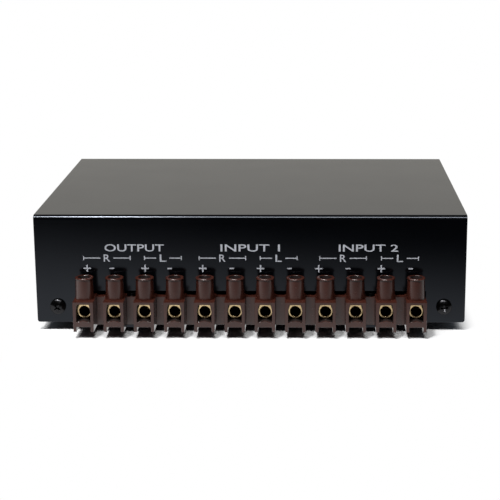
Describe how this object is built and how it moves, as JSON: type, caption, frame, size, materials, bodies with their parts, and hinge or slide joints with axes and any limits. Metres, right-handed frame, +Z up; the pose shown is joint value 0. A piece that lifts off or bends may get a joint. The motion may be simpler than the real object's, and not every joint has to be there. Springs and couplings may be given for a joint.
{
  "type": "speaker selector switch",
  "caption": "Low folded-steel case with a row of screw terminals for speaker wires along its back and a rotary selector switch with a knob on its front.",
  "frame": {"origin": "on the ground plane, under the middle of the whole object's width and depth", "axes": "+X to the right seen from the terminal side, +Y from the terminals towards the knob, +Z up"},
  "size_m": [0.17, 0.1512, 0.047],
  "materials": {
    "case_paint": "semi-gloss black powder coat on folded steel",
    "tray_paint": "semi-gloss black powder coat on folded steel",
    "foot_rubber": "matt black rubber",
    "case_screw_black": "black-oxide steel, satin",
    "strip_plastic": "dark brown moulded plastic, slightly glossy",
    "sleeve_brass": "machined brass",
    "clamp_steel": "zinc-plated steel",
    "switch_steel": "zinc-plated steel",
    "bush_nickel": "nickel-plated brass",
    "spring_steel": "hardened spring steel",
    "knob_plastic": "satin black moulded plastic",
    "pointer_white": "white inlay",
    "wafer_board": "phenolic board",
    "contact_silver": "silver-plated brass",
    "wire_jacket": "soft PVC insulation"
  },
  "bodies": {
    "case": {"cover": "case_paint", "base_tray": "tray_paint", "foot_rear_left": "foot_rubber", "foot_rear_right": "foot_rubber", "foot_front_left": "foot_rubber", "foot_front_right": "foot_rubber", "case_screw_rear_left": "case_screw_black", "case_screw_rear_right": "case_screw_black", "case_screw_front_left": "case_screw_black", "case_screw_front_right": "case_screw_black", "strip_screws": "case_screw_black", "terminal_strip": "strip_plastic", "terminal_sleeves": "sleeve_brass", "inner_clamp_screws": "clamp_steel", "index_plate": "switch_steel", "lock_washer": "switch_steel", "panel_nut": "switch_steel", "tie_screws": "switch_steel", "wafer_spacers": "switch_steel", "switch_bushing": "bush_nickel", "detent_spring": "spring_steel", "rear_wafer_stator": "wafer_board", "rear_wafer_contacts": "contact_silver", "front_wafer_stator": "wafer_board", "front_wafer_contacts": "contact_silver", "wires_output_right": "wire_jacket", "wires_output_left": "wire_jacket", "wires_input_1_right": "wire_jacket", "wires_input_1_left": "wire_jacket", "wires_input_2_right": "wire_jacket", "wires_input_2_left": "wire_jacket"},
    "selector": {"knob": "knob_plastic", "knob_pointer": "pointer_white", "knob_grub_screw": "switch_steel", "switch_shaft": "switch_steel", "shaft_clip": "switch_steel", "index_wheel": "switch_steel", "rear_wafer_rotor": "wafer_board", "rear_wafer_blades": "contact_silver", "front_wafer_rotor": "wafer_board", "front_wafer_blades": "contact_silver"},
    "terminal_screw_01": {"clamp_screw_01": "clamp_steel"},
    "terminal_screw_02": {"clamp_screw_02": "clamp_steel"},
    "terminal_screw_03": {"clamp_screw_03": "clamp_steel"},
    "terminal_screw_04": {"clamp_screw_04": "clamp_steel"},
    "terminal_screw_05": {"clamp_screw_05": "clamp_steel"},
    "terminal_screw_06": {"clamp_screw_06": "clamp_steel"},
    "terminal_screw_07": {"clamp_screw_07": "clamp_steel"},
    "terminal_screw_08": {"clamp_screw_08": "clamp_steel"},
    "terminal_screw_09": {"clamp_screw_09": "clamp_steel"},
    "terminal_screw_10": {"clamp_screw_10": "clamp_steel"},
    "terminal_screw_11": {"clamp_screw_11": "clamp_steel"},
    "terminal_screw_12": {"clamp_screw_12": "clamp_steel"}
  },
  "joints": [
    {"name": "selector_turn", "type": "hinge", "parent": "case", "child": "selector", "pos_m": [0, 0.05865, 0.02525], "axis": [0, 1, 0], "range_deg": [-30, 30], "deforming": ["detent_spring"]},
    {"name": "terminal_screw_01_slide", "type": "slide", "parent": "case", "child": "terminal_screw_01", "axis": [0, 0, 1], "range_m": [-0.0027, 0.0015]},
    {"name": "terminal_screw_02_slide", "type": "slide", "parent": "case", "child": "terminal_screw_02", "axis": [0, 0, 1], "range_m": [-0.0027, 0.0015]},
    {"name": "terminal_screw_03_slide", "type": "slide", "parent": "case", "child": "terminal_screw_03", "axis": [0, 0, 1], "range_m": [-0.0027, 0.0015]},
    {"name": "terminal_screw_04_slide", "type": "slide", "parent": "case", "child": "terminal_screw_04", "axis": [0, 0, 1], "range_m": [-0.0027, 0.0015]},
    {"name": "terminal_screw_05_slide", "type": "slide", "parent": "case", "child": "terminal_screw_05", "axis": [0, 0, 1], "range_m": [-0.0027, 0.0015]},
    {"name": "terminal_screw_06_slide", "type": "slide", "parent": "case", "child": "terminal_screw_06", "axis": [0, 0, 1], "range_m": [-0.0027, 0.0015]},
    {"name": "terminal_screw_07_slide", "type": "slide", "parent": "case", "child": "terminal_screw_07", "axis": [0, 0, 1], "range_m": [-0.0027, 0.0015]},
    {"name": "terminal_screw_08_slide", "type": "slide", "parent": "case", "child": "terminal_screw_08", "axis": [0, 0, 1], "range_m": [-0.0027, 0.0015]},
    {"name": "terminal_screw_09_slide", "type": "slide", "parent": "case", "child": "terminal_screw_09", "axis": [0, 0, 1], "range_m": [-0.0027, 0.0015]},
    {"name": "terminal_screw_10_slide", "type": "slide", "parent": "case", "child": "terminal_screw_10", "axis": [0, 0, 1], "range_m": [-0.0027, 0.0015]},
    {"name": "terminal_screw_11_slide", "type": "slide", "parent": "case", "child": "terminal_screw_11", "axis": [0, 0, 1], "range_m": [-0.0027, 0.0015]},
    {"name": "terminal_screw_12_slide", "type": "slide", "parent": "case", "child": "terminal_screw_12", "axis": [0, 0, 1], "range_m": [-0.0027, 0.0015]}
  ]
}
